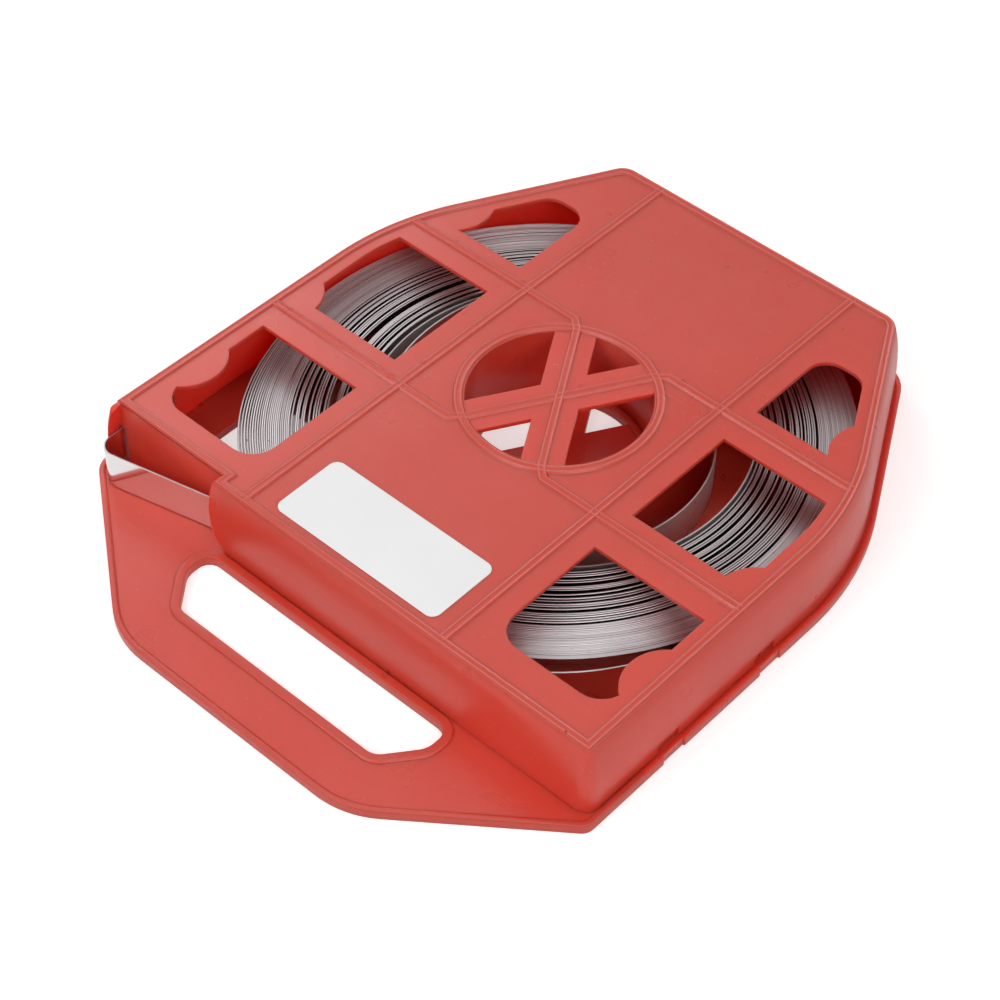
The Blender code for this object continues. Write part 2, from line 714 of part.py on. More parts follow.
def on_coil(radius, degrees):
    angle = math.radians(degrees)
    return (COIL_CENTRE[0] + radius * math.cos(angle), COIL_CENTRE[1] + radius * math.sin(angle))


def tail_x():
    """Middle of the strap's free end, where it is tucked in along the inside of the fin."""
    return -(HALF_WIDTH + SIDE_FLARE + spread(STRAP_TOP) - FIN_T - 2 * FIT - STRAP_T / 2)


def loop_path():
    """From where the strap comes back into the case, round the loop, to where it runs straight."""
    return circle_arc(LOOP_R, 180, 180 + LOOP_TURN, 10, (tail_x() + LOOP_R, -LOOP_Y))


def run_y(x):
    """The straight run between the loop and the slit."""
    end_x, end_y = loop_path()[-1]
    return end_y + (x - end_x) * math.tan(math.radians(LOOP_TURN - 90))


def outer_path():
    """The strap's outer end: off the coil's right side, loose round the front corner, out of the slit,
    round a loop and back in beside the fin."""
    points = []
    for i in range(OUTER_POINTS + 1):
        share = i / OUTER_POINTS
        radius = COIL_R - STRAP_T + OUTER_DRIFT * share + OUTER_BULGE * math.sin(math.pi * share)
        points.append(on_coil(radius, OUTER_START + (OUTER_END - OUTER_START) * share))
    slit = RECESS_RIGHT + LIP_FOOT + WALL
    points.append((RECESS_RIGHT + OUTER_BEND, (points[-1][1] + run_y(slit)) / 2))
    points.append((slit, run_y(slit)))
    return points + loop_path()[::-1] + [(tail_x(), TAIL_L - FRONT)]


def loose_path():
    """The innermost turn: it sags off the coil's bore, runs round slack and curls in to its free end."""
    points = []
    for i in range(LOOSE_POINTS + 1):
        share = i / LOOSE_POINTS
        turned = (LOOSE_END - LOOSE_START) * share
        slack = LOOSE_SLACK * (1 - math.exp(-turned / LOOSE_SETTLE))
        radius = BORE_R + STRAP_T - slack - LOOSE_CURL * share ** 4
        points.append(on_coil(radius, LOOSE_START + turned))
    return points


def strip(name, path, inset, work):
    """A band on edge along a plan path."""
    mesh = bpy.data.meshes.new(name)
    low = [(x * MM, y * MM, (STRAP_Z + inset) * MM) for x, y in path]
    high = [(x * MM, y * MM, (STRAP_TOP - inset) * MM) for x, y in path]
    n = len(path)
    faces = [(i, i + 1, n + i + 1, n + i) for i in range(n - 1)]
    mesh.from_pydata(low + high, [], faces)
    obj = link_mesh(name, mesh, work)
    thick = obj.modifiers.new("gauge", "SOLIDIFY")
    thick.thickness = STRAP_T * MM
    thick.offset = 0.0
    thick.use_even_offset = True
    return obj


def make_strap(parts, work, steel):
    coil = turned_coil(work)
    combine(coil, strip("outer_end", outer_path(), STRIP_INSET, work), "UNION")
    combine(coil, strip("loose_turn", loose_path(), STRIP_INSET, work), "UNION")
    return finish(coil, "steel_strap", parts, steel)


def make_label(parts, work, paper):
    half_w, half_l = LABEL_W / 2, LABEL_L / 2
    corners = [(LABEL_SHIFT + sx * half_w, LABEL_Y + sy * half_l, LABEL_R, 5)
               for sx, sy in ((1, -1), (1, 1), (-1, 1), (-1, -1))]
    low = TOP_Z + LABEL_GAP
    return finish(slab("sticker", rounded(corners), low, low + LABEL_T, work), "label", parts, paper)


def finish(obj, name, parts, surface):
    """The evaluated mesh as one named part with its material."""
    bpy.context.view_layer.update()
    graph = bpy.context.evaluated_depsgraph_get()
    mesh = bpy.data.meshes.new_from_object(obj.evaluated_get(graph))
    mesh.name = name
    mesh.materials.clear()
    mesh.materials.append(surface)
    mesh.shade_smooth()
    mesh.set_sharp_from_angle(angle=math.radians(35))
    part = link_mesh(name, mesh, parts)
    part.matrix_world = obj.matrix_world.copy()
    obj.hide_render = True
    obj.display_type = "WIRE"
    return part


def main():
    clear_scene()
    parts = new_collection("strap_dispenser")
    work = new_collection("cutters")
    work.hide_render = True
    plastic = material("red_plastic", (0.56, 0.085, 0.06), 0.42)
    steel = material("stainless_steel", (0.62, 0.61, 0.60), 0.28, 1.0)
    paper = material("white_label", (0.9, 0.9, 0.9), 0.5)
    make_case_base(parts, work, plastic)
    make_case_top(parts, work, plastic)
    make_strap(parts, work, steel)
    make_label(parts, work, paper)


main()
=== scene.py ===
"""Steel banding strap, coiled in its red moulded dispenser case.

All lengths in the tables are millimetres, with the hub's axis at the origin, unless a comment says metres.
"""

import math

import bpy
import numpy as np
from mathutils import Matrix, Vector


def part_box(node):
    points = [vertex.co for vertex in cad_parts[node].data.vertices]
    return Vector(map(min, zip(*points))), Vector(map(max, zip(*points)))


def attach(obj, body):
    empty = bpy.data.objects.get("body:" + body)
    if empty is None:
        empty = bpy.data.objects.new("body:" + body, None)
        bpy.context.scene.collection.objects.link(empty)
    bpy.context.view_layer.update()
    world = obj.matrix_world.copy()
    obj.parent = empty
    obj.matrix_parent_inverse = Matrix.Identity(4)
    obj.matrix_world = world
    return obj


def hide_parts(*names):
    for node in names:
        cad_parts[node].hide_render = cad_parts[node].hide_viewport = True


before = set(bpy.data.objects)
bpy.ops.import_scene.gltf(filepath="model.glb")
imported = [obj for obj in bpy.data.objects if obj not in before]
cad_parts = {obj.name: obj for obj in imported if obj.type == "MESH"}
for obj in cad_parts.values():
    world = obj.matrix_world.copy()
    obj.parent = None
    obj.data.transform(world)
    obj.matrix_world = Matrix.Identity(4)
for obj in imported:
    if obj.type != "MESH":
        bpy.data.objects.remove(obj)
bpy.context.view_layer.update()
MM = 0.001

# The strap, as it is wound in the case
THICK = 0.7
EDGE = 0.14  # how much each corner of the band is taken off
COIL_CENTRE = (-1.2, -1.6)
BORE_CENTRE = (-0.5, 2.6)
COIL_R = 128.8
BORE_R = 82.0
MEAN_R = 105.0
TURNS = 43 + 148 / 360  # from the coil's outside to where the slack inner turn leaves it
STEPS = 176  # stations in a turn
LOOSEN_FROM, LOOSEN_OVER = 15.0, 14.0  # turns at which the winding gets slack
SLACK_SHARE = 1.1  # how much of the room goes to the bunches, against the few turns that stand apart
HAIR = 0.03  # the least gap behind a turn
STAND_APART = (  # turns that stand apart in the outer winding, and by how much
    (3.3, 0.5), (5.9, 0.25), (8.6, 0.45), (11.2, 0.8), (12.4, 0.35), (14.7, 0.6), (17.8, 0.5),
)

# Its outer end
CORNER_SPRING = 6.0  # how far it springs out into the case's front corner
LEAVE = -98.0  # degrees at which it leaves the coil
SLIT_X = -66.0
LOOP_CENTRE = (-125.38, -133.2)
LOOP_R = 7.0
LOOP_TURN = 103.5
TUCKED_END = -97.1
# It leans into the left front corner: how far, at which degrees, over how many degrees and how many turns
LEAN = (4.9, 225.0, 27.0, 7.0)

# Its slack inner turn
SAG, SAG_OVER = 6.0, 25.0
CURL = 12.4
SLACK_DEGREES = 252.0
DULL_FROM = 29.7  # metres from the outer end to where the faces are dull with oil

# The case, where its ridges run
PANEL = 38.6
HALF_WIDTH = 130.5
FRONT = 131.8
BACK = 133.2
RECESS = 126.5
SLANT = math.radians(28.5)
SIDE_FLARE = 2.7
RIM_IN = 2.2
STEP_X = -67.4
RIB_X = 54.0
RIB_Y = 40.0
RIB_KNEE = 4.5
ARM_ANGLE = math.radians(59)
HUB_RING = 42.4
SHOULDER = 1.3  # middle of a ridge to a shoulder's crest
CHANNEL = 0.35
NICK_X = 118.6  # a nick in the front rim's outer shoulder
NICK_SHARE = 0.75
RIM_H, LONG_RIB_H, CROSS_RIB_H, HUB_RING_H = 0.99, 0.95, 0.9, 0.93
LOWER = 0.03  # the second rib of a pair is this much lower
GATE_Y, GATE_R, GATE_H = 111.0, 1.15, 0.28
CIRCLE_CHORDS = 144
# Heights, in metres, over which the painted shade in the ridges' channel comes and goes, and the painted
# highlight on their crest comes
CHANNEL_SHADE_COMES, CHANNEL_SHADE_GOES, CREST_HIGHLIGHT_COMES = (0.03866, 0.0388), (0.03942, 0.03925), (0.03932, 0.03946)

# The base plate: corners as x, y and radius
BASE_T = 3.8
LIP_H = 0.98
GRIP_LIP, HANDLE_LIP, HUB_LIP = (4.2, 3.0), (2.7, 1.35), (3.0, 1.5)  # width, and how much of it is level
HAND_HOLE = ((54.6, -168.45, 8.15), (67.65, -152.05, 10.15), (67.65, -139.65, 6.15))
HANDLE = (
    (-139.26, -105.0, 0.0), (-139.75, -135.85, 11.85), (-63.45, -194.55, 42.85),
    (63.45, -194.55, 42.85), (137.05, -137.93, 5.85), (137.05, -105.0, 0.0),
)
BASE_HUB = 36.05

# The label's corners and the width of its cut edge
LABEL_CORNER, CORNER_CHORDS, LABEL_EDGE = 4.3, 12, 0.25

# The camera of the photograph: its place, and the picture's right, up and backward directions
CAMERA_AT = (480.8, -575.5, 777.4)
CAMERA_AXES = (
    (0.739918, 0.672637, 0.008956),
    (-0.49609, 0.536624, 0.682591),
    (0.45433, -0.509504, 0.730746),
)
LENS = 90.9

# The studio's lamps, which all face the case: name, place and side of the square in metres, and watts
LAMPS = (
    ("overhead", (-0.1, 0.0, 1.2), 0.8, 2.0),
    ("front", (-0.2, -1.05, 1.0), 0.8, 7.1),
    ("right", (1.1, -0.5, 0.8), 0.8, 5.8),
    ("left_rear", (-1.15, 0.6, 0.8), 0.7, 4.5),
    ("rear", (0.2, 1.4, 0.6), 0.8, 2.0),
)


# ---- strap -------------------------------------------------------------------------------------


def ease(t, start, over):
    """Nought before the start, one after it, and a smooth cubic between."""
    s = np.clip((t - start) / over, 0, 1)
    return s * s * (3 - 2 * s)


def winding_gaps(t):
    """The gap behind each turn. It is a hair in the outer turns, where only a few turns stand apart, and grows
    inwards as a sum of slow waves whose lengths share no beat, so that turns lie in pairs and bunches."""
    slack = ease(t, LOOSEN_FROM, LOOSEN_OVER)
    waves = 1 + np.cos(math.pi * t + 0.4) + 0.9 * np.cos(2 * math.pi * 0.37 * t + 2) \
        + 0.7 * np.cos(2 * math.pi * 0.21 * t)
    apart = sum(size * np.exp(-((t - at) / 0.22) ** 2) for at, size in STAND_APART)
    return np.maximum(slack * waves, 0) ** 2.2 * SLACK_SHARE + apart * 0.5


def coil_line():
    """A spiral: the radius falls by one thickness and one gap with each turn, and the centre moves from the
    coil's to the bore's in step with the gaps used up."""
    t = np.linspace(0, TURNS, int(TURNS * STEPS) + 1)
    wish = winding_gaps(t)
    step = np.diff(t, prepend=0)
    used = np.cumsum(wish * step)
    start = COIL_R - THICK / 2
    total = start - (BORE_R + THICK / 2) - THICK * TURNS
    used = HAIR * t + used * (total - HAIR * TURNS) / used[-1]
    radius = start - THICK * t - used
    share = used / used[-1]
    angle = 2 * math.pi * t
    lean, middle, width, depth = LEAN
    leant = radius + lean * np.exp(-((np.degrees(angle) % 360 - middle) / width) ** 2 - t / depth)
    x = COIL_CENTRE[0] + (BORE_CENTRE[0] - COIL_CENTRE[0]) * share + leant * np.cos(angle)
    y = COIL_CENTRE[1] + (BORE_CENTRE[1] - COIL_CENTRE[1]) * share + leant * np.sin(angle)
    return np.column_stack([x, y]), radius[-1]


def corner_line():
    """The loose outer turn in polar form: the coil's radius, with a squared sine of the angle added, which
    lifts it into the case's front corner."""
    u = np.linspace(1, 0, 90)[:-1]
    radius = COIL_R - THICK / 2 + 0.2 * u + 1.0 * u * u + CORNER_SPRING * np.sin(math.pi * u ** 1.04) ** 2
    angle = np.radians(LEAVE * u)
    return np.column_stack([COIL_CENTRE[0] + radius * np.cos(angle), COIL_CENTRE[1] + radius * np.sin(angle)])


def outer_end_line():
    """From the tucked end, straight along the fin, round the loop as an arc, straight to the slit, and on to
    the coil as a cubic that keeps both directions."""
    left = LOOP_CENTRE[0] - LOOP_R
    tucked = np.column_stack([np.full(12, left), np.linspace(TUCKED_END, LOOP_CENTRE[1], 13)[:-1]])
    a = np.radians(np.linspace(180, 180 + LOOP_TURN, 36))
    loop = np.column_stack([LOOP_CENTRE[0] + LOOP_R * np.cos(a), LOOP_CENTRE[1] + LOOP_R * np.sin(a)])
    x = np.linspace(loop[-1, 0], SLIT_X, 30)[1:]
    run = np.column_stack([x, loop[-1, 1] + (x - loop[-1, 0]) * math.tan(math.radians(LOOP_TURN - 90))])
    corner = corner_line()
    s = np.linspace(0, 1, 40)[1:-1, None]
    p0, p1 = run[-1], corner[0]
    reach = 0.7 * np.linalg.norm(p1 - p0)
    d0 = (run[-1] - run[-2]) / np.linalg.norm(run[-1] - run[-2]) * reach
    d1 = (corner[1] - corner[0]) / np.linalg.norm(corner[1] - corner[0]) * reach
    hop = (2 * s ** 3 - 3 * s ** 2 + 1) * p0 + (s ** 3 - 2 * s ** 2 + s) * d0 \
        + (3 * s ** 2 - 2 * s ** 3) * p1 + (s ** 3 - s ** 2) * d1
    return np.vstack([tucked, loop, run, hop, corner])


def slack_line(radius):
    """The innermost turn in polar form: it sags off the bore by an easing exponential and curls in by the
    fourth power of its length."""
    degrees = np.linspace(0, SLACK_DEGREES, 150)[1:]
    s = degrees / SAG_OVER
    share = degrees / SLACK_DEGREES
    r = radius - SAG * (1 - np.exp(-s * s / (1 + s))) - CURL * share ** 4
    angle = 2 * math.pi * TURNS + np.radians(degrees)
    return np.column_stack([BORE_CENTRE[0] + r * np.cos(angle), BORE_CENTRE[1] + r * np.sin(angle)])


def band_section(width):
    """Eight points round the band's section, as distance along its thickness and height."""
    t, w, e = THICK / 2, width / 2, EDGE
    return np.array([
        (t, -w + e), (t, w - e), (t - e, w), (-t + e, w),
        (-t, w - e), (-t, -w + e), (-t + e, -w), (t - e, -w),
    ])


def closed_sweep(name, rings, cyclic, length):
    """A mesh from an array of rings, each a row of points, with a flat cap on both ends unless it is cyclic.
    Its UV map holds the distance along the sweep and round the ring, in metres."""
    n, m, _ = rings.shape
    i = np.arange(n if cyclic else n - 1)[:, None]
    j = np.arange(m)[None, :]
    k, ii = (j + 1) % m, (i + 1) % n
    quads = np.stack(np.broadcast_arrays(i * m + j, i * m + k, ii * m + k, ii * m + j), -1).reshape(-1, 4)
    faces = quads.tolist()
    if not cyclic:
        faces += [list(range(m))[::-1], list(range((n - 1) * m, n * m))]
    mesh = bpy.data.meshes.new(name)
    mesh.from_pydata((rings.reshape(-1, 3) * MM).tolist(), [], faces)
    loop_vertex = np.zeros(len(mesh.loops), np.int32)
    mesh.loops.foreach_get("vertex_index", loop_vertex)
    ring, spot = loop_vertex // m, loop_vertex % m
    round_ring = np.concatenate([[0], np.cumsum(np.linalg.norm(np.diff(rings[0], axis=0), axis=1))])
    uv = np.column_stack([length[ring], round_ring[spot]]) * MM
    layer = mesh.uv_layers.new(name="along")
    layer.data.foreach_set("uv", uv.astype(np.float32).ravel())
    mesh.validate()
    mesh.update()
    obj = bpy.data.objects.new(name, mesh)
    bpy.context.scene.collection.objects.link(obj)
    return obj


def outward(obj):
    """Turns the whole surface over where its volume comes out negative."""
    mesh = obj.data
    mesh.calc_loop_triangles()
    tri = np.zeros(len(mesh.loop_triangles) * 3, np.int32)
    mesh.loop_triangles.foreach_get("vertices", tri)
    co = np.zeros(len(mesh.vertices) * 3)
    mesh.vertices.foreach_get("co", co)
    a, b, c = co.reshape(-1, 3)[tri.reshape(-1, 3)].transpose(1, 0, 2)
    if np.einsum("ij,ij->i", a, np.cross(b, c)).sum() < 0:
        mesh.flip_normals()
    return obj


def wound_strap(steel):
    """The whole strap as one band: its eight-point section is carried along the outer end, the coil and the
    slack inner turn, square to the line, while its height drifts a little from turn to turn."""
    coil, bore = coil_line()
    line = np.vstack([outer_end_line(), coil, slack_line(bore)])
    along = np.gradient(line, axis=0)
    along /= np.linalg.norm(along, axis=1)[:, None]
    side = np.column_stack([along[:, 1], -along[:, 0]])
    length = np.concatenate([[0], np.cumsum(np.linalg.norm(np.diff(line, axis=0), axis=1))])
    low, high = (c.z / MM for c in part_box("steel_strap"))
    turn = length / (2 * math.pi * MEAN_R)
    rise = 0.1 * np.sin(2 * math.pi * 0.173 * turn) + 0.09 * np.sin(2 * math.pi * 0.61 * turn + 1)
    rise += 0.05 * np.sin(2 * math.pi * 1.37 * turn + 2)
    section = band_section(high - low)
    rings = np.zeros((len(line), len(section), 3))
    rings[:, :, :2] = line[:, None] + side[:, None] * section[None, :, :1]
    rings[:, :, 2] = (low + high) / 2 + rise[:, None] + section[None, :, 1]
    strap = outward(closed_sweep("strap", rings, False, length))
    strap.data.polygons.foreach_set("use_smooth", np.ones(len(strap.data.polygons), bool))
    strap.data.set_sharp_from_angle(angle=math.radians(30))
    strap.data.materials.append(steel)
    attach(strap, "root")
    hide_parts("steel_strap")
    return strap


# ---- ridges ------------------------------------------------------------------------------------


def beside(path, cyclic):
    """The way across a plan path at each of its points: the mean of its two sides' normals, lengthened at a
    corner so that a width carried along the path keeps its measure, as a mitre does."""
    ahead = np.roll(path, -1, 0) - path
    behind = path - np.roll(path, 1, 0)
    if not cyclic:
        ahead[-1], behind[0] = behind[-1], ahead[0]
    across = [
        np.column_stack([d[:, 1], -d[:, 0]]) / np.linalg.norm(d, axis=1)[:, None]
        for d in (behind, ahead)
    ]
    return (across[0] + across[1]) / (1 + (across[0] * across[1]).sum(1))[:, None]


def moulding(name, path, section, level, plastic, cyclic=True, nick=None):
    """A section, given as distances across and up, carried along a plan path at a level. Each ring turns with
    the mitre of the path. A nick is a share of the height, for each ring, that its outer half loses."""
    path = np.asarray(path, float)
    side = beside(path, cyclic)
    rings = np.zeros((len(path), len(section), 3))
    rings[:, :, :2] = path[:, None] + side[:, None] * section[None, :, :1]
    up = np.broadcast_to(section[None, :, 1], rings.shape[:2]).copy()
    if nick is not None:
        up -= nick[:, None] * np.clip(section[None, :, 0] / 0.5, 0, 1) * np.maximum(up, 0)
    rings[:, :, 2] = level + up
    gone = np.linalg.norm(np.diff(path, axis=0, prepend=path[:1]), axis=1)
    ridge = outward(closed_sweep(name, rings, cyclic, np.cumsum(gone)))
    ridge.data.polygons.foreach_set("use_smooth", np.ones(len(ridge.data.polygons), bool))
    ridge.data.set_sharp_from_angle(angle=math.radians(60))
    ridge.data.materials.append(plastic)
    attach(ridge, "root")
    return ridge


def twin_ridge(height, reach=2.4):
    """Section of the cover's ridges: two rounded shoulders either side of a shallow channel. From the foot to
    a shoulder's crest the height is a raised cosine to the power of four fifths, and from the crest to the
    channel a raised cosine is taken off it."""
    x = np.linspace(-reach, reach, 45)
    rise = np.clip((reach - np.abs(x)) / (reach - SHOULDER), 0, 1)
    fall = np.clip((SHOULDER - np.abs(x)) / 0.85, 0, 1)
    up = height * (0.5 - 0.5 * np.cos(math.pi * rise)) ** 0.8 - CHANNEL * (0.5 - 0.5 * np.cos(math.pi * fall))
    foot = np.array([(reach, -0.5), (-reach, -0.5)])
    return np.vstack([np.column_stack([x, up - 0.01]), foot])


def flat_lip(width, flat, height):
    """Section of the lips round the base's openings: level for part of its width, then a quarter of an
    ellipse down to its outer foot; its inner side drops straight."""
    a = np.linspace(math.pi / 2, 0, 9)
    outer = np.column_stack([flat + (width - flat) * np.cos(a), height * np.sin(a)])
    b = np.linspace(math.pi, math.pi / 2, 5)
    inner = np.column_stack([0.24 + 0.3 * np.cos(b), height - 0.3 + 0.3 * np.sin(b)])
    return np.vstack([[(-0.06, -0.6)], inner, outer, [(width, -0.6)]])


def rounded(corners):
    """A closed outline from corners given as x, y, radius and number of chords; each corner is an arc that
    touches both sides."""
    out = []
    at = np.array([c[:2] for c in corners], float)
    for i, (x, y, r, n) in enumerate(corners):
        here = at[i]
        back = at[i - 1] - here
        ahead = at[(i + 1) % len(at)] - here
        back, ahead = back / np.linalg.norm(back), ahead / np.linalg.norm(ahead)
        if r <= 0:
            out.append(here[None])
            continue
        half = math.acos(np.clip(back @ ahead, -1, 1)) / 2
        middle = (back + ahead) / np.linalg.norm(back + ahead)
        centre = here + middle * r / math.sin(half)
        sweep = math.pi / 2 - half
        turn = np.linspace(-sweep, sweep, n + 1) * np.sign(back[0] * ahead[1] - back[1] * ahead[0])
        a = math.atan2(-middle[1], -middle[0]) - turn
        out.append(centre + r * np.column_stack([np.cos(a), np.sin(a)]))
    return np.vstack(out)


def circle(radius, chords=CIRCLE_CHORDS):
    """Points at equal angles round the hub: the radius times the cosine and the sine."""
    a = np.linspace(0, 2 * math.pi, chords + 1)[:-1]
    return radius * np.column_stack([np.cos(a), np.sin(a)])


def rear_slant(half, y):
    """Where the slanting rear side lies at this y: a straight line that touches the round of this radius."""
    return (half - y * math.sin(SLANT)) / math.cos(SLANT)


def flare(y):
    """How far the left side stands out at this y, in a straight line from the bend to the front."""
    bend = HALF_WIDTH * math.tan(SLANT / 2)
    return SIDE_FLARE * (bend - y) / (bend + FRONT)


def panel_ridges(plastic):
    """The cover's ridges: the rim, two ribs along Y, two across that turn along an arm of the hub's cross,
    and the ring round the hub. Where they cross, the later ones lie a hair lower."""
    half, back, front, inner = HALF_WIDTH - RIM_IN, BACK - RIM_IN, RIM_IN - FRONT, RIM_IN - RECESS
    bend = half * math.tan(SLANT / 2)
    rim = rounded([
        (half, front, 0, 0), (half, bend, half, 40), (rear_slant(half, back), back, 6.8, 12),
        (-rear_slant(half, back), back, 6.8, 12), (-half, bend, half, 40),
        (-half - flare(inner), inner, 0, 0), (STEP_X, inner, 0, 0), (STEP_X, front, 0, 0),
    ])
    along = NICK_X + np.array([-60.0, -1.1, -0.62, -0.4, 0.4, 0.62, 1.1])
    rim = np.vstack([rim, np.column_stack([along, np.full(len(along), front)])])
    nick = np.where((rim[:, 1] == front) & (np.abs(rim[:, 0] - NICK_X) < 0.5), NICK_SHARE, 0.0)
    moulding("rim_ridge", rim, twin_ridge(RIM_H, RIM_IN), PANEL, plastic, nick=nick)
    for n, x in enumerate((-RIB_X, RIB_X)):
        line = np.column_stack([np.full(9, x), np.linspace(front, back, 9)])
        moulding(f"long_rib_{n}", line, twin_ridge(LONG_RIB_H - LOWER * n), PANEL, plastic, False)
    rear = math.sqrt(half ** 2 - RIB_Y ** 2)
    foot = RIB_Y / math.tan(ARM_ANGLE)
    knee = RIB_Y - RIB_KNEE
    for n, side in enumerate((-1, 1)):
        ins = [(foot + RIB_KNEE / 2, RIB_Y), (foot * knee / RIB_Y, knee)]
        reach = half + (flare(-RIB_Y) if side > 0 else 0)
        line = [(-side * reach, -RIB_Y)] + [(-side * x, -y) for x, y in ins]
        line += [(side * x, y) for x, y in ins[::-1]] + [(side * rear, RIB_Y)]
        moulding(f"cross_rib_{n}", line, twin_ridge(CROSS_RIB_H - LOWER * n), PANEL, plastic, False)
    moulding("hub_ring", circle(HUB_RING), twin_ridge(HUB_RING_H), PANEL, plastic)


def base_lips(plastic):
    """The raised lips of the base: round the hand hole, along the front of the handle, and round the hub."""
    right = [(x, y, r, 10) for x, y, r in HAND_HOLE]
    hole = rounded(right + [(-x, y, r, n) for x, y, r, n in right[::-1]])
    moulding("grip_lip", hole, flat_lip(*GRIP_LIP, LIP_H), BASE_T, plastic)
    front = rounded([(x, y, r, 16) for x, y, r in HANDLE])[::-1]
    moulding("handle_rim", front, flat_lip(*HANDLE_LIP, LIP_H), BASE_T, plastic, False)
    moulding("base_ring", circle(BASE_HUB), flat_lip(*HUB_LIP, LIP_H), BASE_T, plastic)


def gate_mark(plastic):
    """A low dome where the mould was fed: a half circle's profile, flattened, turned about its own axis."""
    unit = circle(1, 32)
    b = np.linspace(0, 1, 9)[:-1] * math.pi / 2
    rings = np.zeros((len(b) + 1, len(unit), 3))
    rings[0, :, :2] = GATE_R * unit
    rings[0, :, 2] = -0.4
    rings[1:, :, :2] = (GATE_R * np.cos(b))[:, None, None] * unit
    rings[1:, :, 2] = (GATE_H * np.sin(b))[:, None]
    rings += (0, GATE_Y, PANEL)
    mark = outward(closed_sweep("gate_mark", rings, False, np.arange(len(rings)) * 1.0))
    mark.data.polygons.foreach_set("use_smooth", np.ones(len(mark.data.polygons), bool))
    mark.data.materials.append(plastic)
    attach(mark, "root")
    return mark


# ---- label -------------------------------------------------------------------------------------


def blank_label(paper):
    """A rounded sheet: rings of one rounded rectangle, drawn in towards its middle line, whose height falls
    off to the cut edge as a quarter circle; the last ring closes under it."""
    low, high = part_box("label")
    x0, y0, z0 = (c / MM for c in low)
    x1, y1, z1 = (c / MM for c in high)
    a = np.linspace(0, math.pi / 2, CORNER_CHORDS + 1)
    quarter = np.column_stack([np.cos(a), np.sin(a)])
    turns = [
        np.array([[math.cos(q), math.sin(q)], [-math.sin(q), math.cos(q)]])
        for q in (0, math.pi / 2, math.pi, 3 * math.pi / 2)
    ]
    unit = np.vstack([quarter @ m for m in turns])
    signs = np.repeat([(1, 1), (-1, 1), (-1, -1), (1, -1)], CORNER_CHORDS + 1, axis=0)
    half = np.array([(x1 - x0) / 2, (y1 - y0) / 2])
    middle = np.array([(x0 + x1) / 2, (y0 + y1) / 2])
    drawn_in = (
        (LABEL_EDGE, 0.0), (0.0, 0.3), (0.02, 0.75), (0.1, 0.94), (LABEL_EDGE, 1.0), (1.2, 1.0), (4.2, 1.0),
    )
    rings = []
    for inset, height in drawn_in:
        plan = middle + signs * (half - LABEL_CORNER) + unit * (LABEL_CORNER - inset)
        rings.append(np.column_stack([plan, np.full(len(unit), z0 + (z1 - z0) * height)]))
    label = outward(closed_sweep("blank_label", np.array(rings), False, np.arange(len(rings)) * 1.0))
    label.data.polygons.foreach_set("use_smooth", np.ones(len(label.data.polygons), bool))
    label.data.set_sharp_from_angle(angle=math.radians(50))
    label.data.materials.append(paper)
    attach(label, "root")
    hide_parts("label")
    return label


# ---- materials ---------------------------------------------------------------------------------


class Nodes:
    """Short hand for building one material's node tree."""

    def __init__(self, name):
        self.material = bpy.data.materials.new(name)
        self.material.use_nodes = True
        self.tree = self.material.node_tree
        self.shader = self.tree.nodes["Principled BSDF"]

    def add(self, kind, **values):
        node = self.tree.nodes.new("ShaderNode" + kind)
        for key, value in values.items():
            if key[0].isupper():
                self.put(node, key.replace("_", " "), value)
            else:
                setattr(node, key, value)
        return node

    def put(self, node, socket, value):
        target = node.inputs[socket]
        if isinstance(value, bpy.types.NodeSocket):
            self.tree.links.new(value, target)
        else:
            target.default_value = value

    def noise(self, where, scale, detail=3.0, roughness=0.5):
        node = self.add("TexNoise", Vector=where, Scale=scale, Detail=detail, Roughness=roughness)
        return node.outputs["Fac"]

    def spread(self, value, low, high, to_low=0.0, to_high=1.0):
        node = self.add("MapRange", Value=value)
        for socket, number in (("From Min", low), ("From Max", high), ("To Min", to_low), ("To Max", to_high)):
            node.inputs[socket].default_value = number
        return node.outputs["Result"]

    def mix(self, factor, first, second):
        node = self.add("Mix", data_type="RGBA")
        self.put(node, 0, factor)
        self.put(node, 6, first)
        self.put(node, 7, second)
        return node.outputs[2]

    def maths(self, operation, a, b):
        node = self.add("Math", operation=operation)
        self.put(node, 0, a)
        self.put(node, 1, b)
        return node.outputs[0]

    def bump(self, height, strength, distance, normal=None):
        node = self.add("Bump", Height=height, Strength=strength, Distance=distance)
        if normal is not None:
            self.put(node, "Normal", normal)
        return node.outputs["Normal"]

    def finish(self, **values):
        for key, value in values.items():
            self.put(self.shader, key.replace("_", " "), value)
        return self.material


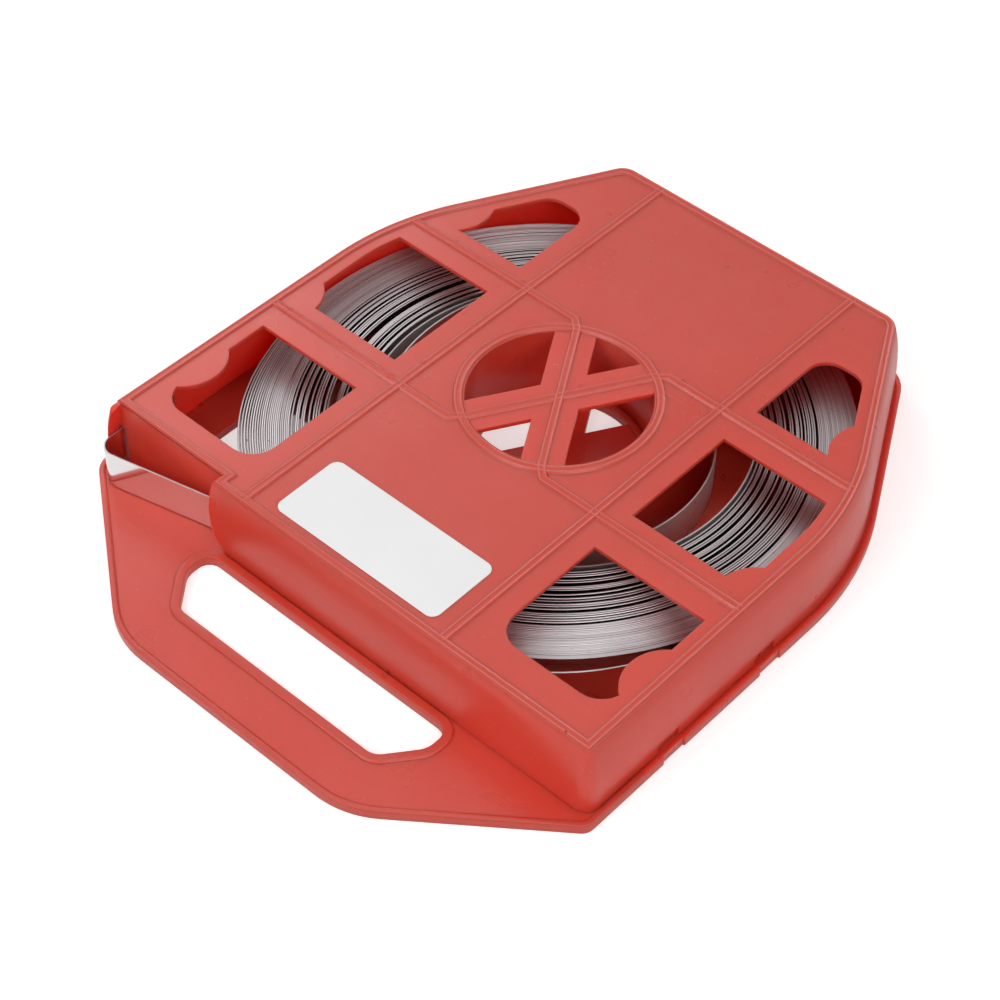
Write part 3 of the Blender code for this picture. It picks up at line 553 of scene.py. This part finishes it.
def moulded_plastic(name, red, depth, edge):
    """Red polypropylene: the colour clouds slowly, mould grain and a few scratches break the gloss, dust sits
    on it as pale specks, and its edges are painted paler, partly as rubbing and partly as a painted highlight.
    The ridges get a painted highlight on their crests and painted shade, a deeper orange, in their channels.
    Light goes into it as far as the depth, and an edge is rounded off as far as the edge radius, both in
    metres; a skin that is already round has none."""
    n = Nodes(name)
    where = n.add("TexCoord").outputs["Object"]
    cloud = n.noise(where, 14, 3)
    streak = n.noise(n.add("Mapping", Vector=where, Scale=(9, 60, 20)).outputs[0], 3, 2)
    colour = n.mix(n.spread(cloud, 0.35, 0.68), (red, 0.056, 0.030, 1), (red + 0.02, 0.072, 0.045, 1))
    colour = n.mix(n.spread(streak, 0.55, 0.75, 0, 0.2), colour, (red + 0.04, 0.085, 0.058, 1))
    soft = hard = n.add("NewGeometry").outputs["Normal"]
    if edge:
        soft = n.add("Bevel", samples=2, Radius=edge).outputs[0]
        turn = n.add("VectorMath", operation="DOT_PRODUCT")
        n.put(turn, 0, soft)
        n.put(turn, 1, hard)
        # Edges, where the rounded normal turns from the true one, are painted paler in patches: partly rubbing
        # wear, partly a painted highlight on the edges.
        edge_rub_and_highlight = n.spread(turn.outputs["Value"], 0.985, 0.85, 0, 1)
        wear_and_painted_highlight = n.maths("MULTIPLY", edge_rub_and_highlight, n.spread(n.noise(where, 160, 2), 0.4, 0.62, 0.0, 0.15))
        colour = n.mix(wear_and_painted_highlight, colour, (red + 0.05, 0.20, 0.16, 1))
    height = n.add("SeparateXYZ", Vector=where).outputs["Z"]
    # Painted shade: the ridges' channels, picked out by height, are painted a deeper orange.
    channel = n.maths("MULTIPLY", n.spread(height, *CHANNEL_SHADE_COMES), n.spread(height, *CHANNEL_SHADE_GOES))
    colour = n.mix(n.maths("MULTIPLY", channel, 0.8), colour, (red + 0.02, 0.050, 0.016, 1))
    # Painted highlight: the ridges' crests, picked out by height, are painted a paler pink, in patches.
    crest = n.maths("MULTIPLY", n.spread(height, *CREST_HIGHLIGHT_COMES), n.spread(cloud, 0.3, 0.6, 0.5, 0.9))
    colour = n.mix(crest, colour, (red + 0.06, 0.15, 0.125, 1))
    dust = n.spread(n.noise(where, 900, 2, 0.6), 0.735, 0.76)
    colour = n.mix(n.maths("MULTIPLY", dust, 0.5), colour, (0.80, 0.50, 0.45, 1))
    scratch_field = n.add("Mapping", Vector=where, Rotation=(0, 0, 0.7), Scale=(30, 900, 30)).outputs[0]
    scratch = n.spread(n.noise(scratch_field, 1.3, 2, 0.4), 0.66, 0.80)
    rough = n.spread(n.noise(where, 45, 2), 0.3, 0.7, 0.27, 0.37)
    rough = n.maths("ADD", rough, n.maths("MULTIPLY", scratch, 0.08))
    grain = n.bump(n.noise(where, 1300, 2), 0.10, 0.0001, soft)
    wave = n.bump(n.noise(where, 24, 2), 0.3, 0.0012, grain)
    return n.finish(
        Base_Color=colour, Roughness=rough, Normal=wave, Specular_IOR_Level=0.5,
        Subsurface_Weight=0.8, Subsurface_Radius=(1.0, 0.07, 0.03), Subsurface_Scale=depth,
    )


def rolled_steel():
    """Stainless band: fine rolling lines along its length, a tint that changes from turn to turn, and brown
    specks of dried oil."""
    n = Nodes("rolled_steel")
    where = n.add("TexCoord").outputs["Object"]
    along = n.add("UVMap", uv_map="along").outputs[0]
    lines = n.noise(n.add("Mapping", Vector=along, Scale=(6, 2600, 1)).outputs[0], 1.0, 5, 0.6)
    tint = n.noise(n.add("Mapping", Vector=along, Scale=(2.3, 0, 0)).outputs[0], 1.0, 3)
    up = n.add("SeparateXYZ", Vector=n.add("NewGeometry").outputs["True Normal"]).outputs["Z"]
    slit_edge = n.spread(n.maths("ABSOLUTE", up, 0.0), 0.3, 0.6)
    edge_colour = n.mix(n.spread(tint, 0.3, 0.7), (0.27, 0.25, 0.255, 1), (0.60, 0.565, 0.575, 1))
    edge_colour = n.mix(n.spread(lines, 0.3, 0.75, 0, 0.4), edge_colour, (0.33, 0.305, 0.31, 1))
    colour = n.mix(slit_edge, (0.80, 0.78, 0.78, 1), edge_colour)
    speck = n.spread(n.noise(where, 420, 3, 0.6), 0.66, 0.72)
    patch = n.spread(n.noise(where, 38, 2), 0.5, 0.62)
    oil = n.maths("MULTIPLY", speck, patch)
    colour = n.mix(n.maths("MULTIPLY", oil, 0.8), colour, (0.16, 0.09, 0.06, 1))
    rough = n.spread(lines, 0.25, 0.75, 0.07, 0.16)
    dull = n.spread(n.add("SeparateXYZ", Vector=along).outputs["X"], DULL_FROM - 0.3, DULL_FROM)
    colour = n.mix(n.maths("MULTIPLY", dull, 0.5), colour, (0.56, 0.54, 0.53, 1))
    rough = n.maths("ADD", rough, n.maths("MULTIPLY", dull, 0.34))
    rough = n.maths("ADD", rough, n.maths("MULTIPLY", slit_edge, 0.3))
    rough = n.maths("ADD", rough, n.maths("MULTIPLY", oil, 0.3))
    normal = n.bump(lines, 0.05, 0.00005)
    return n.finish(Base_Color=colour, Roughness=rough, Metallic=1.0, Normal=normal)


def label_film():
    """White film: a slight shade in the fibre and a soft gloss."""
    n = Nodes("label_film")
    where = n.add("TexCoord").outputs["Object"]
    fibre = n.noise(where, 700, 4)
    shade = n.noise(where, 30, 2)
    colour = n.mix(n.spread(shade, 0.3, 0.7), (0.89, 0.89, 0.89, 1), (0.92, 0.92, 0.92, 1))
    colour = n.mix(n.spread(fibre, 0.62, 0.8, 0, 0.12), colour, (0.70, 0.70, 0.70, 1))
    rough = n.spread(shade, 0.3, 0.7, 0.38, 0.5)
    return n.finish(Base_Color=colour, Roughness=rough, Normal=n.bump(fibre, 0.05, 0.0001))


def smooth_shading():
    """Node group: joins the loose triangles, shades them smooth and keeps edges over the given angle sharp."""
    group = bpy.data.node_groups.new("joined_and_smooth", "GeometryNodeTree")
    group.interface.new_socket("Geometry", in_out="INPUT", socket_type="NodeSocketGeometry")
    group.interface.new_socket("Geometry", in_out="OUTPUT", socket_type="NodeSocketGeometry")
    add, link = group.nodes.new, group.links.new
    source, result = add("NodeGroupInput"), add("NodeGroupOutput")
    bare = add("GeometryNodeRemoveAttribute")
    bare.inputs["Name"].default_value = "custom_normal"
    join = add("GeometryNodeMergeByDistance")
    join.inputs["Distance"].default_value = 0.000002
    faces = add("GeometryNodeSetShadeSmooth")
    edges = add("GeometryNodeSetShadeSmooth")
    edges.domain = "EDGE"
    edges.inputs["Shade Smooth"].default_value = False
    angle = add("GeometryNodeInputMeshEdgeAngle")
    over = add("ShaderNodeMath")
    over.operation = "GREATER_THAN"
    over.inputs[1].default_value = math.radians(46)
    link(source.outputs[0], bare.inputs["Geometry"])
    link(bare.outputs["Geometry"], join.inputs["Geometry"])
    link(join.outputs["Geometry"], faces.inputs["Geometry"])
    link(faces.outputs["Geometry"], edges.inputs["Geometry"])
    link(angle.outputs["Unsigned Angle"], over.inputs[0])
    link(over.outputs[0], edges.inputs["Selection"])
    link(edges.outputs["Geometry"], result.inputs[0])
    return group


def dress_case(plastic):
    """Both halves of the case keep their shape; they are shaded smooth and get the plastic."""
    group = smooth_shading()
    for name in ("case_base", "case_top"):
        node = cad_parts[name]
        node.data.materials.clear()
        node.data.materials.append(plastic)
        node.modifiers.new("smooth", "NODES").node_group = group


# ---- studio ------------------------------------------------------------------------------------


def camera_of_the_photo():
    """A camera at the photograph's viewing angle."""
    data = bpy.data.cameras.new("photo_camera")
    data.lens = LENS
    data.sensor_width = 36
    data.clip_start, data.clip_end = 0.01, 20
    camera = bpy.data.objects.new("photo_camera", data)
    bpy.context.scene.collection.objects.link(camera)
    matrix = Matrix(CAMERA_AXES).transposed().to_4x4()
    matrix.translation = [c * MM for c in CAMERA_AT]
    camera.matrix_world = matrix
    bpy.context.scene.camera = camera


def softbox(name, place, side, power):
    """A square lamp at a place, turned towards the case."""
    data = bpy.data.lights.new(name, "AREA")
    data.shape = "RECTANGLE"
    data.size = data.size_y = side
    data.energy = power
    lamp = bpy.data.objects.new(name, data)
    bpy.context.scene.collection.objects.link(lamp)
    back = np.array(place) / np.linalg.norm(place)
    right = np.cross((0, 0, 1), back)
    right /= np.linalg.norm(right)
    up = np.cross(back, right)
    away = Matrix([right, up, back]).transposed().to_4x4()
    away.translation = place
    lamp.matrix_world = away


def seen_directly(tree):
    """One for what the camera sees, straight or in a mirror or through glass, and nought for soft light."""
    path = tree.nodes.new("ShaderNodeLightPath")
    result = path.outputs["Is Camera Ray"]
    for kind in ("Is Glossy Ray", "Is Transmission Ray"):
        either = tree.nodes.new("ShaderNodeMath")
        either.operation = "MAXIMUM"
        tree.links.new(result, either.inputs[0])
        tree.links.new(path.outputs[kind], either.inputs[1])
        result = either.outputs[0]
    return result


def pale_floor():
    """A wide sheet under the case. It takes the object's shadow; to the camera, and less so in mirrors, it is
    lifted towards white."""
    n = Nodes("studio_floor")
    tree = n.tree
    n.finish(Base_Color=(0.80, 0.80, 0.80, 1), Roughness=0.9, Specular_IOR_Level=0.0)
    path = n.add("LightPath").outputs
    mirrored = n.maths("MULTIPLY", n.maths("MAXIMUM", path["Is Glossy Ray"], path["Is Transmission Ray"]), 0.25)
    lift = n.maths("ADD", n.maths("MULTIPLY", path["Is Camera Ray"], 0.5), mirrored)
    glow = n.add("Emission", Color=(1, 1, 1, 1), Strength=lift)
    both = n.add("AddShader")
    tree.links.new(n.shader.outputs[0], both.inputs[0])
    tree.links.new(glow.outputs[0], both.inputs[1])
    tree.links.new(both.outputs[0], tree.nodes["Material Output"].inputs["Surface"])
    line = np.linspace(-4, 4, 9)
    x, y = np.meshgrid(line, line)
    i = np.arange(8)[:, None] * 9 + np.arange(8)
    quads = np.stack([i, i + 1, i + 10, i + 9], -1).reshape(-1, 4)
    mesh = bpy.data.meshes.new("floor")
    points = np.stack([x, y, np.full_like(x, -0.0002)], -1).reshape(-1, 3)
    mesh.from_pydata(points.tolist(), [], quads.tolist())
    mesh.materials.append(n.material)
    floor = bpy.data.objects.new("floor", mesh)
    bpy.context.scene.collection.objects.link(floor)


def studio_light():
    """A pale world that is white where it is seen directly, and the lamps."""
    world = bpy.data.worlds.new("studio")
    bpy.context.scene.world = world
    world.use_nodes = True
    tree = world.node_tree
    lit = tree.nodes["Background"]
    lit.inputs["Color"].default_value = (1, 1, 1, 1)
    lit.inputs["Strength"].default_value = 0.25
    seen = tree.nodes.new("ShaderNodeBackground")
    seen.inputs["Color"].default_value = (1, 1, 1, 1)
    seen.inputs["Strength"].default_value = 1.0
    mix = tree.nodes.new("ShaderNodeMixShader")
    tree.links.new(seen_directly(tree), mix.inputs[0])
    tree.links.new(lit.outputs[0], mix.inputs[1])
    tree.links.new(seen.outputs[0], mix.inputs[2])
    tree.links.new(mix.outputs[0], tree.nodes["World Output"].inputs["Surface"])
    for lamp in LAMPS:
        softbox(*lamp)
    bpy.context.scene.view_settings.view_transform = "Standard"


camera_of_the_photo()
studio_light()
pale_floor()
dress_case(moulded_plastic("moulded_red", 0.755, 0.010, 0.001))
proud_plastic = moulded_plastic("moulded_red_ridges", 0.61, 0.0006, 0)
panel_ridges(proud_plastic)
base_lips(proud_plastic)
gate_mark(proud_plastic)
wound_strap(rolled_steel())
blank_label(label_film())
